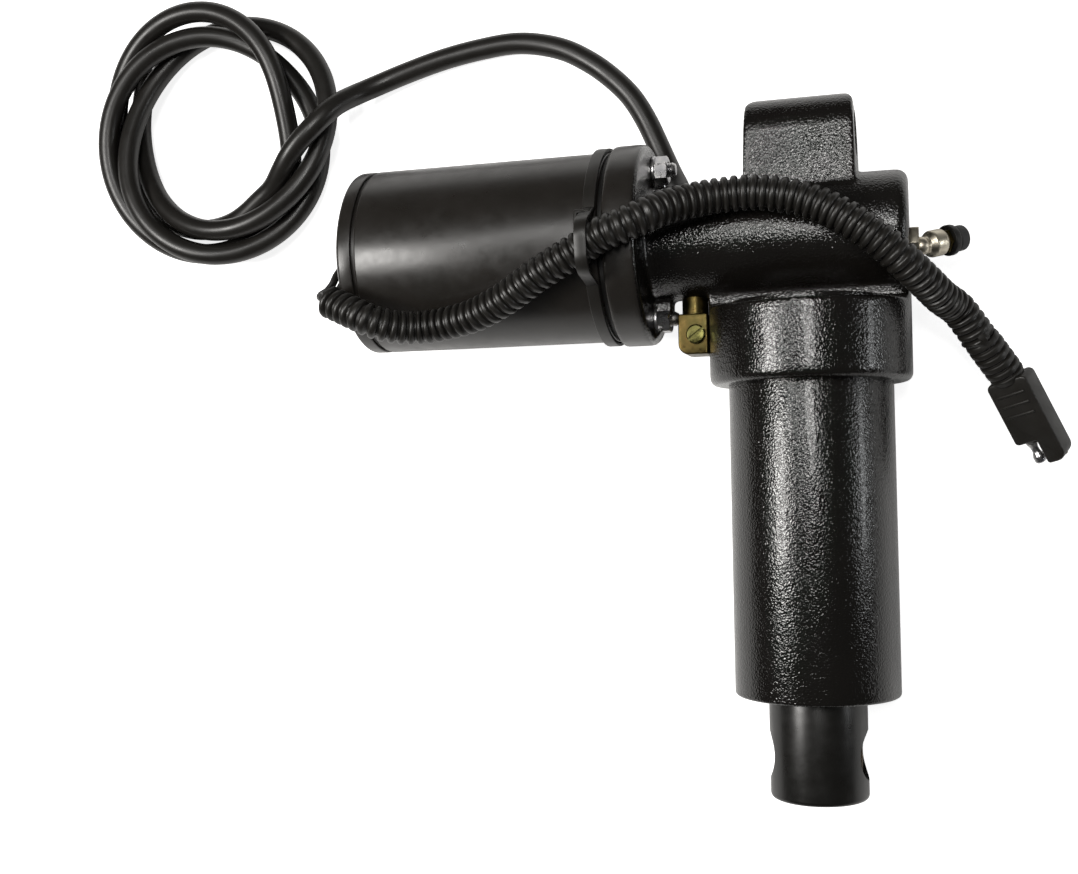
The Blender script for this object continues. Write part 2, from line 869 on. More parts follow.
@dataclass
class PowerCable:
    """The thick cable from the gland to its coil, with its bare cores."""

    diameter: float = 9.4
    gland_at: Vector = spot(-46.5, MOTOR_Y, 0)
    gland_tilt: float = 44.0
    gland_swing: float = 16.0
    gland_reach: float = 29.5
    coil: Vector = spot(-272.4, 33.2, -26.3)
    coil_radius: float = 49.5
    coil_oval: float = 2.2
    coil_from: float = -58.0
    coil_step: float = 15.0
    coil_steps: int = 82
    strand: float = 8.0
    weave_from: float = 170.0
    weave: float = 1.25
    fan_at: float = 10.0
    fan_out: float = 2.6
    points: int = 620
    core_ring_r: float = 1.8
    sleeve_r: float = 1.3
    sleeve_len: float = 11.0
    copper_r: float = 0.8
    copper_len: float = 15.8
    route: Points = (
        (-58.4, -3.4, -32.4), (-61.3, 3, -34.2), (-65.1, 12, -34.3), (-69.5, 22, -34.3),
        (-76, 33, -34.3), (-85, 42.5, -34.3), (-94, 49.7, -34.3), (-107, 57, -34.3),
        (-125.5, 61.4, -34.3), (-144.8, 60.4, -34.3), (-163, 57.5, -34.3), (-181, 52.5, -33.3),
        (-192, 48.2, -31), (-200.5, 43.6, -26.5), (-206.5, 38.3, -19.7), (-211, 32.8, -15.4),
        (-217, 26.3, -13.2), (-223.5, 20.3, -13.2), (-229.4, 14.2, -14.7), (-235.5, 7.9, -18.6))

    def gland(self) -> Matrix:
        """Returns the gland's place, with z pointing out of the housing."""
        return (moved(self.gland_at) @ turned(self.gland_swing, "Z")
                @ turned(-self.gland_tilt, "X") @ turned(-90, "X"))

    def coil_point(self, t: float) -> Vector:
        """Returns a point of the coil.

        The turns weave about the coil's ring, and more widely where the coil fans out.

        Args:
            t: The turned angle in degrees.

        Returns:
            The point.
        """
        a, w = math.radians(self.coil_from - t), math.radians(self.weave_from + self.weave * t)
        fan = max(0.0, math.cos(a - math.radians(self.fan_at)))
        wide = self.strand + self.fan_out * fan * fan
        r = self.coil_radius - self.coil_oval * math.cos(2 * a) + wide * math.cos(w)
        return self.coil + Vector((r * math.cos(a), r * math.sin(a), self.strand * math.sin(w)))

    def line(self) -> list[Vector]:
        """Draws the cable from the gland through its coil.

        Returns:
            The points of its middle line.
        """
        turns = [self.coil_point(self.coil_step * i) for i in range(self.coil_steps + 1)]
        fine = [self.coil_point(self.coil_step / 3 * i) for i in range(3 * self.coil_steps + 1)]
        inward = (turns[1] - turns[0]).normalized()
        last = turns[-1] - turns[-2]
        outward = Vector((last.x, last.y, 0)).normalized()
        axis = self.gland().to_3x3() @ Vector((0, 0, 1))
        leave = self.gland_at + self.gland_reach * axis
        meet = turns[0] - self.diameter * inward
        way = [leave] + Route.smooth([leave + self.diameter * axis, *self.route, meet],
                                     axis, inward)
        whole = way + fine + [turns[-1] + self.diameter * outward]
        return Route.eased(Route.even(whole, self.points), 3)

    def build(self) -> None:
        """Makes the cable, its cores and its gland."""
        line = self.line()
        sweep = swept("power_cable_jacket", line, [self.diameter / 2], 22)
        cable = sweep.done(Finishes.jacket, "power_cable", "power_cable_coil")
        along = (line[-1] - line[-2]).normalized()
        side = along.cross(Vector((0, 0, 1))).normalized()
        up = side.cross(along)
        turn = along.to_track_quat("Z", "Y").to_matrix().to_4x4()
        wires, bare = [], []
        for k in range(3):
            a = math.radians(90 + 120 * k)
            spoke = math.cos(a) * side + math.sin(a) * up
            root = moved(line[-1] + self.core_ring_r * spoke - along) @ turn
            wires.append(disc(self.sleeve_r, self.sleeve_len, root, 20, top=0.3))
            bare.append(disc(self.copper_r, self.copper_len, root, 16, top=0.3))
        sleeves = Piece("core_sleeves", *wires).done(Finishes.jacket)
        cores = Piece("bare_cores", *bare).done(Finishes.copper, "cable_cores")
        bore = self.diameter / 2 + 0.1
        gland = Piece("gland_boot", lathe([
            (bore, 26), (6.0, 26, 0.3), (6.0, 29.5, 0.8), (5.5, 30.2, 0.3), (5.1, 37.5, 0.3),
            (bore, 37.5)], self.gland(), 64, 3, closed=True)).done(
            Finishes.rubber, "cable_gland")
        Route.length(line) * MM


@dataclass
class Plug:
    """The flat two way plug with one bare pin and one sleeved socket."""

    at: Vector = spot(73.6, -95.2, -15.2)
    roll: float = 33.0
    pitch: float = 16.0
    yaw: float = -64.0
    relief_yaw: float = -54.0
    relief_tilt: float = 28.0
    relief_length: float = 20.0
    relief_pitch: float = 3.56
    width: float = 16.7
    thick: float = 9.6
    short: float = 26.6
    long: float = 36.8
    bar_size: Triple = (1.1, 12.0, 1.2)
    bar_from: float = 5.8
    bar_pitch: float = 4.4
    contact_r: float = 2.9
    contact_depth: float = 12.0
    pin_r: float = 2.25
    pin_depth: float = 10.0
    socket_r: float = 2.3
    socket_depth: float = 11.5

    def place(self) -> Matrix:
        """Returns the plug's place, with x pointing out of its mouth."""
        return (moved(self.at) @ turned(self.yaw, "Z") @ turned(self.pitch, "Y")
                @ turned(self.roll, "X"))

    def pole(self, side: int) -> Matrix:
        """Returns one pole's place, on side -1 or 1, with z pointing out of the mouth."""
        return self.place() @ moved((0, side * self.width / 4, 0)) @ turned(90, "Y")

    def relief_place(self) -> Matrix:
        """Returns the strain relief's place, with z pointing into the plug."""
        return (moved(self.at) @ turned(self.relief_yaw, "Z")
                @ turned(self.relief_tilt, "Y") @ turned(90, "Y"))

    def relief_axis(self) -> Vector:
        """Returns the strain relief's direction into the plug."""
        return (self.relief_place().to_3x3() @ Vector((0, 0, 1))).normalized()

    def build(self) -> list[Object]:
        """Makes the plug.

        Returns:
            The plug's pieces.
        """
        half = self.width / 2
        outline = [(0, -half, 2.2), (self.short, -half, 1.6), (self.short, 0.3, 0.8),
                   (self.long, 0.3, 1.2), (self.long, half, 4.2), (0, half, 2.2)]
        blank = raised(rounded(outline, closed=True), self.thick,
                       self.place() @ lifted(-self.thick / 2))
        body = Piece("plug_shell", soften(blank, 1.1, 3, 50))
        body.cut(Cut.JOIN, *[
            block(self.bar_size, 0.35, self.place() @ moved(
                (self.bar_from + self.bar_pitch * i, -0.4, side * self.thick / 2)))
            for side in (1, -1) for i in range(3)])
        body.cut(
            Cut.TAKE, disc(self.contact_r + 0.05, self.contact_depth + 2,
                           self.pole(1) @ lifted(self.long - self.contact_depth), 40),
            disc(self.pin_r + 0.05, self.pin_depth + 1,
                 self.pole(-1) @ lifted(self.short - self.pin_depth), 40))
        shell = body.done(Finishes.plug, "plug_body", crease=40)
        z = -self.relief_length
        line = [(0.0, z), (6.4, z, 0.6)]
        z += 2.2
        while z < -2.0:
            line += [(6.9, z, 0.45), (5.6, z + 0.35, 0.2), (5.6, z + 1.15, 0.2),
                     (6.9, z + 1.5, 0.45)]
            z += self.relief_pitch
        line += [(6.2, 0.5, 0.4), (0.0, 2.5)]
        relief = Piece("plug_relief", lathe(line, self.relief_place(), 56, 3)).done(Finishes.plug)
        foot, mouth, r = self.short, self.long - 0.6, self.pin_r
        pin = Piece("plug_pin_bright", lathe([
            (0, foot - self.pin_depth), (r, foot - self.pin_depth), (r, foot + 1.6, 1.2),
            (r - 0.8, foot + 3.6, 2.0), (r - 0.8, foot + 5.4, 2.0), (r, foot + 7.4, 1.4),
            (r, foot + 10.2, 1.8), (0, foot + 10.5)], self.pole(-1), 48, 6)).done(
            Finishes.zinc, "plug_pin")
        inner, outer, floor = self.socket_r, self.contact_r, mouth - self.socket_depth
        sleeve = lathe([(inner, floor, 0.1), (outer, floor, 0.1), (outer, mouth, 0.2),
                        (inner, mouth, 0.2)], self.pole(1), 48, 2, closed=True)
        base = disc(outer, outer, self.pole(1) @ lifted(floor - outer), 48)
        socket = Piece("plug_sleeve", sleeve, base).done(Finishes.yellow, "plug_socket")
        return [shell, relief, pin, socket]


@dataclass
class MotorLeads:
    """The ribbed hose and the two motor leads that it carries."""

    plug: Plug
    crest: float = HOSE_R
    valley: float = 5.3
    ribs: int = 84
    rib_form: Sequence[float] = (0.0, 0.0, 0.6, 0.92, 1.0, 1.0, 1.0, 0.92, 0.6, 0.0)
    wall: float = 0.7
    wire: float = 3.2
    mouth: Vector = spot(-185, -59.2, 40.2)
    lead: Vector = spot(-173.2, -64.8, 42.5)
    start: Vector = spot(-176.5, -44, 20)
    route: Points = (
        (-168.5, -67.1, 42.6), (-163.5, -69.2, 41), (-158.5, -70.5, 38.2), (-152.8, -71, 34.9),
        (-146.8, -70.8, 32.8), (-138.9, -69.8, 32.5), (-125, -67.2, 34.9), (-110.6, -61.5, 38.9),
        (-98, -54.4, 42.2), (-87.5, -49.2, 43.8), (-78.1, -44.5, 44.7), (-72, -41.3, 46.4),
        (-64, -38.8, 47.1), (-56, -35.2, 45), (-47.4, -31.2, 39.5), (-36.9, -28, 33.6),
        (-28, -26.6, 30.8), (-19.3, -26.2, 30.2), (-10.4, -27.2, 30), (-0.8, -29.4, 29.8),
        (9, -33.6, 29.9), (18.7, -39.8, 30), (28.2, -46.9, 28.8), (36.7, -54.8, 25.3),
        (43.9, -61.5, 17.8), (49.5, -66.6, 9.6))
    wire_route: Points = (
        (-187.9, -46.4, 20.8), (-188.4, -50.6, 24.0), (-188.7, -54.4, 29.0), (-188.8, -57.0, 35.0))

    def lead_way(self) -> Vector:
        """Returns the hose's direction at its mouth."""
        return (self.lead - self.mouth).normalized()

    def hose_line(self) -> list[Vector]:
        """Draws the hose from its mouth to the plug.

        Returns:
            The points of its middle line.
        """
        axis = self.plug.relief_axis()
        end = self.plug.at - self.plug.relief_length * axis
        return [self.mouth] + Route.smooth(
            [self.lead, *self.route, end - 2 * self.crest * axis], self.lead_way(), axis) + [end]

    def lead_line(self, side: float) -> list[Vector]:
        """Draws one motor lead from the grommet through the hose to the plug.

        Args:
            side: Which lead, -1 or 1.

        Returns:
            The points of its middle line.
        """
        out = self.start - Vector((9, 0, 0))
        line = [self.start] + Route.smooth([out, *self.wire_route, self.mouth], Vector(
            (-1, 0, 0)), self.lead_way(), 6) + self.hose_line()[1:]
        line = Route.even(line, 220)
        normals = Route.normals(line, Vector((0, 1, 0)))
        return [p + side * (self.wire + 0.3) / 2 * n for p, n in zip(line, normals)]

    def hose(self, line: Sequence[Vector]) -> Object:
        """Makes the ribbed hose, open at both ends.

        Args:
            line: Its middle line.

        Returns:
            The finished hose.
        """
        depth = self.crest - self.valley
        radii = [self.valley + depth * self.rib_form[i % len(self.rib_form)]
                 for i in range(len(line))]
        hose = swept("ribbed_hose", line, radii, 28)
        bm = opened(hose.obj.data)
        caps = [f for f in bm.faces if len(f.verts) > 4]
        bmesh.ops.delete(bm, geom=caps, context="FACES_ONLY")
        closed_up(bm, hose.obj.data)
        shell = hose.obj.modifiers.new("wall", "SOLIDIFY")
        shell.thickness, shell.offset, shell.use_rim = self.wall, -1.0, True
        return hose.apply().done(Finishes.hose, "conduit", crease=60)

    def build(self) -> None:
        plug_pieces = self.plug.build()
        line = Route.even(Route.eased(Route.even(self.hose_line(), 200), 2),
                          self.ribs * len(self.rib_form))
        hose = self.hose(line)
        Route.length(line) * MM
        for side, name, nodes in ((-1.0, "motor_lead_low", ["motor_wires"]),
                                  (1.0, "motor_lead_high", [])):
            way = self.lead_line(side)
            wire = swept(name, way, [self.wire / 2], 12).done(Finishes.jacket, *nodes)
            Route.length(way) * MM


# ---- housing and ram

def eye_bush(name: str, length: float, place: Matrix) -> Piece:
    """Makes the plain bush of an eye, with the bore for its pin.

    Args:
        name: The piece's name.
        length: The bush's length.
        place: Where one end of it goes.

    Returns:
        The bush.
    """
    outside = BUSH_SEAT_R - 0.02
    return Piece(name, lathe([(PIN_R, 0, 0.6), (outside, 0, 0.3), (outside, length, 0.3),
                              (PIN_R, length, 0.6)], place, parts=3, closed=True))


@dataclass
class Housing:
    """The black casting that carries the motor, the pump and the ram."""

    face_x: float = -73.4
    reach: float = TUBE_END
    flange_r: float = 40.1
    flange: float = 13.1
    flange_rim: float = 1.2
    tube_r: float = 22.8
    bore_r: float = 19.5
    end_wall: float = 6.0
    lug_w: float = 40.5
    lug_r: float = 15.5
    lug_shift: float = -1.5
    collar_r: float = 38.6
    collar_end: float = 96.5
    collar_wall: Sequence[Point] = ((0.0, 10.0), (-27.0, 8.0), (-28.6, 40.0))
    gusset: Sequence[Corner] = ((-62, -55), (-53, -55), (-53, -68, 4.0), (-60, -77, 5.0),
                                (-62, -77))
    gusset_w: float = 8.0
    chamber: float = CHAMBER
    barrel_r: float = BARREL_R
    valve_x: float = VALVE_X
    passages: Sequence[float] = (-18.0, -26.2)
    boss_r: float = 6.8
    boss_len: float = 26.0
    cable_bore_r: float = 5.0
    port_bore_r: float = 4.05
    stub_bore_r: float = 5.25
    voxel: float = 0.8

    def tube(self) -> Solid:
        """Makes the pump tube with the motor flange.

        Returns:
            The tube.
        """
        length = self.reach - self.face_x
        return lathe([
            (0, 0), (self.flange_r, 0, 0.4), (self.flange_r, self.flange, 2.2),
            (self.tube_r, self.flange, 1.6), (self.tube_r, length, 4.4), (0, length)],
            on_motor(self.face_x), 128, 8)

    def lug(self) -> Solid:
        """Makes the upper eye's lug, drawn in toward its end.

        Returns:
            The lug.
        """
        r, deep, low, top = self.lug_r, 60, self.lug_w / 2 + 1.4, self.lug_w / 2 + 0.2
        to_x = Matrix(((0, 0, 1, 0), (0, 1, 0, 0), (-1, 0, 0, 0), (0, 0, 0, 1)))
        side = raised(rounded([(-r, MOTOR_Y), (r, MOTOR_Y), (r, r, r * 0.98), (-r, r, r * 0.98)],
                              closed=True, steps=14),
                      deep, moved((self.lug_shift - deep / 2, 0, 0)) @ to_x)
        front = raised(rounded([(-low, MOTOR_Y), (low, MOTOR_Y), (top, r, 5.5), (-top, r, 5.5)],
                               closed=True, steps=8),
                       deep, moved((self.lug_shift, 0, -deep / 2)))
        return Piece("lug", side).cut(Cut.KEEP, front).taken()

    def collar(self) -> Solid:
        """Makes the collar that wraps the barrel and runs up to the tube.

        Returns:
            The collar.
        """
        low = self.collar_end + MOTOR_Y
        blank = Piece("collar", disc(self.collar_r, low, on_ram(-MOTOR_Y), 128, top=3.0))
        half = [*self.collar_wall, (-low - 1, self.collar_wall[-1][1])]
        outline = half + [(y, -z) for y, z in reversed(half)]
        to_front = Matrix(((0, 0, 1, 0), (1, 0, 0, 0), (0, 1, 0, 0), (0, 0, 0, 1)))
        return blank.cut(Cut.KEEP, raised(outline, 80, moved((-40, MOTOR_Y, 0))
                                          @ to_front)).taken()

    def build(self, cable: PowerCable) -> None:
        """Makes the casting and the bush in its eye.

        Args:
            cable: The cable, whose gland gives the place of its boss.
        """
        boss = disc(self.boss_r, self.boss_len, cable.gland(), 48, top=0.8)
        gusset = raised(rounded(self.gusset, closed=True), self.gusset_w,
                        lifted(-self.gusset_w / 2))
        casting = Piece("black_casting", self.tube(), self.lug(), self.collar(), boss, gusset)
        casting.melt(self.voxel, 7)
        length = self.reach - self.face_x
        casting.cut(
            Cut.TAKE, disc(self.bore_r, length - self.end_wall + 2, on_motor(self.face_x - 2)),
            disc(self.barrel_r + 0.05, 40, on_ram(self.chamber), 128),
            disc(BUSH_SEAT_R, 60, along_x(self.lug_shift - 30, 0), 72),
            disc(self.cable_bore_r, 40, cable.gland(), 40),
            disc(self.port_bore_r, 12, on_motor(self.reach - 8) @ moved((0, PORT_Y, 0)), 32),
            disc(self.stub_bore_r, 4, on_ram(self.tube_r - 1.6 - MOTOR_Y, self.valve_x), 40),
            *[disc(BOLT_HOLE_R, 20, on_motor(self.face_x - 3) @ turn, 32)
              for turn in Fasteners.turns()],
            *[disc(PASSAGE_R, 8, on_ram(self.bore_r - 1 - MOTOR_Y, x), 16)
              for x in self.passages])
        cast = casting.done(Finishes.casting, "pump_housing", crease=38)
        cast.data.materials.append(Finishes.motor_paint.make())
        for face in cast.data.polygons:
            if face.center.x / MM < self.face_x + self.flange - self.flange_rim:
                face.material_index = 1
        wide = self.lug_w - 1.4
        eye_bush("upper_bush", wide, along_x(self.lug_shift - wide / 2, 0)).done(
            Finishes.bronze, "upper_eye_bush")


@dataclass
class Ram:
    """The barrel, the rod and the rod's lower eye."""

    chamber: float = CHAMBER
    end: float = 216.1
    barrel_r: float = BARREL_R
    groove: tuple[float, float] = (18.7, 21.7)
    bore_r: float = 22.0
    passage_x: float = -26.35
    rod_r: float = 12.5
    rod_from: float = 87.5
    shoulder: float = 216.5
    eye: float = 238.5
    tail: float = 255.3
    end_r: float = 18.6
    bush_len: float = 32.0

    def barrel(self) -> None:
        """Makes the barrel with its groove, its ring's seat and its oil passage."""
        long, r, bore = self.end - self.chamber, self.barrel_r, self.bore_r
        low, high = self.groove
        shell = lathe([
            (bore, 0, 0.2), (r, 0, 0.3), (r, low, 0.1), (r - 2, low, 0.1), (r - 2, high, 0.1),
            (r, high, 0.1), (r, long, 1.3), (bore + 0.8, long, 0.2), (bore, long - 0.9, 0.2),
            (bore, long - 1.5, 0.05), (bore + 1.2, long - 1.5, 0.05),
            (bore + 1.2, long - 3.5, 0.05), (bore, long - 3.5, 0.05)],
            on_ram(self.chamber), 144, 4, closed=True)
        passage = disc(PASSAGE_R, 124.0, on_ram(self.chamber - 1, self.passage_x), 12)
        Piece("painted_barrel", shell).cut(Cut.TAKE, passage).done(
            Finishes.ram_paint, "barrel", crease=38)

    def build(self) -> None:
        """Makes the ram's visible pieces."""
        self.barrel()
        long, drop = self.shoulder - self.rod_from, self.tail - self.shoulder
        rod = lathe([
            (0, -21.4), (6, -21.4, 0.6), (6, 0), (self.rod_r, 0, 0.6), (self.rod_r, long, 0.4),
            (8, long), (8, long + 12, 0.8), (0, long + 12)], on_ram(self.rod_from), 112)
        Piece("ground_rod", rod).done(Finishes.steel, "ram_rod", body="ram")
        blank = Piece("lower_eye", lathe([
            (0, 0), (self.end_r, 0, 0.8), (self.end_r, drop, 1.8), (0, drop)],
            on_ram(self.shoulder), 128))
        bore = lathe([
            (0, 0), (9.6, 0), (9.6, 10), (9.6, 11.6, 0.6), (BUSH_SEAT_R, 13.2, 0.6),
            (BUSH_SEAT_R, 36.8, 0.6), (9.6, 38.4, 0.6), (9.6, 50), (0, 50)],
            along_x(-25, -self.eye), 72)
        blank.cut(Cut.TAKE, bore, disc(8.05, 13.5, on_ram(self.shoulder - 1), 48))
        blank.done(Finishes.plain_paint, "rod_end", body="ram", crease=38)
        eye_bush("lower_bush", self.bush_len, along_x(-self.bush_len / 2, -self.eye)).done(
            Finishes.bronze, "rod_eye_bush", body="ram")


# ---- motor

@dataclass
class Motor:
    """The smooth black motor with its rear cap, its gasket and its grommet."""

    radius: float = MOTOR_R
    wall: float = 3.5
    front: float = -75.5
    rear: float = -174.8
    cap_front: float = -176.5
    cap_rear: float = CAP_REAR
    leads_at: Point = (-44.0, 20.0)
    pocket_r: float = 5.3
    gasket_r: float = 37.0

    def build(self) -> None:
        """Makes the tube, the cap, the gasket and the grommet."""
        long, inside = self.front - self.rear, self.radius - self.wall
        tube = lathe([(inside, 0, 0.3), (self.radius, 0, 0.7), (self.radius, long, 0.7),
                      (inside, long, 0.3)], on_motor(self.rear), 160, 4, closed=True)
        Piece("motor_tube", tube).done(Finishes.motor_paint, "motor_yoke")
        seal = lathe([(inside, 0, 0.1), (self.gasket_r, 0, 0.3), (self.gasket_r, 2.1, 0.3),
                      (inside, 2.1, 0.1)], on_motor(self.front), 128, 3, closed=True)
        Piece("flange_gasket", seal).done(Finishes.rubber, "motor_gasket")
        self.cap()
        self.grommet()

    def cap(self) -> None:
        """Makes the rear cap with its groove, screw pockets and lead hole."""
        r, thick = self.radius, self.cap_front - self.cap_rear
        line = [(0, 0.8), (17, 0.8, 0.5), (18, 0, 0.5), (33.5, 0), (35.2, 0, 0.6), (r, 1.6, 1.4),
                (r, thick, 0.4), (r - 1.4, thick, 0.1), (r - 1.4, thick + 1.7, 0.05),
                (34.3, thick + 1.7, 0.05), (34.3, thick + 6.7, 0.4), (31.3, thick + 6.7, 0.2),
                (31.3, thick, 0.2), (17.0, thick, 0.2), (17.0, thick + 5, 0.4),
                (13.05, thick + 5, 0.2), (13.05, thick - 3, 0.1), (0, thick - 3)]
        tools = []
        for turn in Fasteners.turns():
            place = on_motor(self.cap_rear - 1) @ turn
            tools += [disc(self.pocket_r, 5.0, place, 40), disc(BOLT_HOLE_R, 22, place, 24)]
        tools.append(disc(5.0, 20, along_x(self.cap_rear - 1, *self.leads_at), 40))
        body = Piece("motor_rear_cap", lathe(line, on_motor(self.cap_rear), 160, 4))
        body.cut(Cut.TAKE, *tools).done(Finishes.motor_paint, "rear_cap", crease=30)

    def grommet(self) -> None:
        """Makes the grommet that the two leads pass through."""
        place = along_x(self.cap_rear - 2, *self.leads_at)
        blank = lathe([(0, 0), (4.3, 0, 1.0), (5.3, 1.4, 0.5), (6.0, 1.5, 0.5), (6.0, 2.0, 0.2),
                       (4.95, 2.0, 0.1), (4.95, 9, 0.4), (0, 9)], place, 56)
        holes = [disc(1.66, 14, place @ moved((0, 1.75 * side, -2)), 20) for side in (-1, 1)]
        Piece("lead_grommet", blank).cut(Cut.TAKE, *holes).done(Finishes.rubber, "wire_grommet")


@dataclass
class Fasteners:
    """The two through bolts with their washers and nuts."""

    flange_x: float = -60.3
    cap_rear: float = CAP_REAR
    bolt_r: float = 3.0
    thread: float = 0.9
    washer: float = 1.3
    washer_r: float = 6.0
    washer_bore_r: float = 3.2
    nut: float = 5.0
    flats: float = 10.0
    slot_size: Triple = (12.0, 1.1, 2.4)
    slot_turns: Point = (25.0, 75.0)
    nut_turns: Point = (11.0, 28.0)

    @staticmethod
    def turns() -> list[Matrix]:
        """Returns the two bolts' places about the motor's axis."""
        return [turned(a, "Z") @ moved((BOLT_CIRCLE_R, 0, 0)) for a in (90, 270)]

    def threaded(self, start: float, end: float) -> list[Corner]:
        """Draws a thread.

        Args:
            start: Where it starts.
            end: Where it has to end.

        Returns:
            The outline of its crests and roots.
        """
        out: list[Corner] = []
        z = start
        while z + self.thread < end:
            out += [(self.bolt_r - 0.42, z), (self.bolt_r, z + self.thread / 2, 0.1)]
            z += self.thread
        return out

    def nut_shape(self, place: Matrix, turn: float) -> Solid:
        """Makes a nut with turned chamfers.

        Args:
            place: Where its foot goes.
            turn: How far it is turned, in degrees.

        Returns:
            The nut.
        """
        high, narrow = self.nut, self.flats / 2
        wide = narrow / math.cos(math.radians(30)) + 0.1
        blank = Piece("nut", raised(hexagon(self.flats, turn), high, Matrix()))
        blank.cut(Cut.KEEP, lathe([
            (0, 0), (narrow + 0.05, 0), (wide, 0.5), (wide, high - 0.6), (narrow - 0.1, high),
            (0, high)], Matrix(), 48))
        blank.cut(Cut.TAKE, lathe([
            (0, -1), (3.8, -1), (3.05, 0.6), (3.05, high - 0.6), (3.8, high + 0.2),
            (3.8, high + 1), (0, high + 1)], Matrix(), 40))
        bm = blank.taken()
        bmesh.ops.transform(bm, matrix=place, verts=bm.verts)
        return bm

    def build(self) -> None:
        """Makes the bolts, washers and nuts."""
        tip = self.flange_x + self.washer + self.nut + 3 - self.cap_rear
        line = [(0, 0), (4.4, 0, 0.5), (5.0, 0.8, 0.5), (5.0, 4, 0.1), (3.0, 4, 0.1),
                (self.bolt_r, tip - 10.5), *self.threaded(tip - 10, tip - 0.6),
                (2.2, tip, 0.2), (0, tip)]
        bolts, washers, nuts, slots = [], [], [], []
        inner, outer = self.washer_bore_r, self.washer_r
        for turn, slot_turn, nut_turn in zip(self.turns(), self.slot_turns, self.nut_turns):
            head = on_motor(self.cap_rear) @ turn
            bolts.append(lathe(line, head, 32, 2))
            slots.append(block(self.slot_size, 0, head @ turned(slot_turn, "Z")))
            washers.append(lathe([
                (inner, 0, 0.25), (outer, 0, 0.25), (outer, self.washer, 0.25),
                (inner, self.washer, 0.25)], on_motor(self.flange_x) @ turn, 48, 3,
                closed=True))
            nuts.append(self.nut_shape(on_motor(self.flange_x + self.washer) @ turn, nut_turn))
        Piece("through_bolt_set", *bolts).cut(Cut.TAKE, *slots).done(
            Finishes.zinc, "through_bolts")
        Piece("washer_set", *washers).done(Finishes.zinc, "flange_washers")
        Piece("nut_set", *nuts).done(Finishes.zinc, "flange_nuts", crease=20)


@dataclass
class CableTie:
    """The tie that holds the hose to the motor."""

    x: float = -80.5
    width: float = 4.8
    thick: float = 1.3
    gap: float = 0.4
    motor_r: float = MOTOR_R
    hose_r: float = HOSE_R
    hose_ring: float = 45.0
    hose_at: int = 188
    head_at: float = 173.5
    head_size: Triple = (5.8, 6.2, 6.4)
    slot_size: Triple = (3.0, 3.4, 3.6)
    tail_size: Triple = (1.2, 6.5, 4.2)

    def saddle(self, offset: float) -> list[Point]:
        """Draws the band's rise over the hose.

        Args:
            offset: Distance from the motor and the hose.

        Returns:
            The outline.
        """
        spots = [Vector((self.motor_r + offset, 0)) @ Matrix.Rotation(math.radians(-a), 2)
                 for a in range(self.hose_at - 22, self.hose_at + 23, 4)]
        spots.append(Vector((-0.6 * self.motor_r, 0)))
        for lean in (-4.0, 4.0):
            a = math.radians(self.hose_at + lean)
            middle = Vector((self.hose_ring * math.cos(a), self.hose_ring * math.sin(a)))
            spots += [middle + Vector((self.hose_r + offset, 0))
                      @ Matrix.Rotation(math.radians(b), 2) for b in range(0, 360, 8)]
        return [tuple(spots[i]) for i in convex_hull_2d(spots)]

    def build(self) -> None:
        """Makes the band, its head and its tail."""
        place = on_motor(self.x)
        below = place @ lifted(-2)
        outer, wide = self.gap + self.thick, self.width - 0.04
        head = (place @ turned(self.head_at, "Z")
                @ moved((self.motor_r + 3.1, 0, self.width / 2 - 1.6)))
        band = Piece("tie_band", disc(self.motor_r + outer, self.width, place, 144, 0.35, 0.35))
        rise = raised(self.saddle(outer), wide, place @ lifted((self.width - wide) / 2))
        band.cut(Cut.JOIN, soften(rise, 0.35, 2, 50))
        band.cut(Cut.TAKE, disc(self.motor_r + self.gap, self.width + 4, below, 144),
                 raised(self.saddle(self.gap), self.width + 4, below))
        band.cut(Cut.JOIN, block(self.head_size, 0.7, head))
        band.cut(Cut.TAKE, block(self.slot_size, 0.25, head @ moved((2.6, 0, 0))))
        band.cut(Cut.JOIN, block(self.tail_size, 0.3,
                                 head @ moved((0.6, 4.4, 0)) @ turned(8, "Z")))
        band.done(Finishes.hose, "cable_tie", crease=40)


# ---- fittings

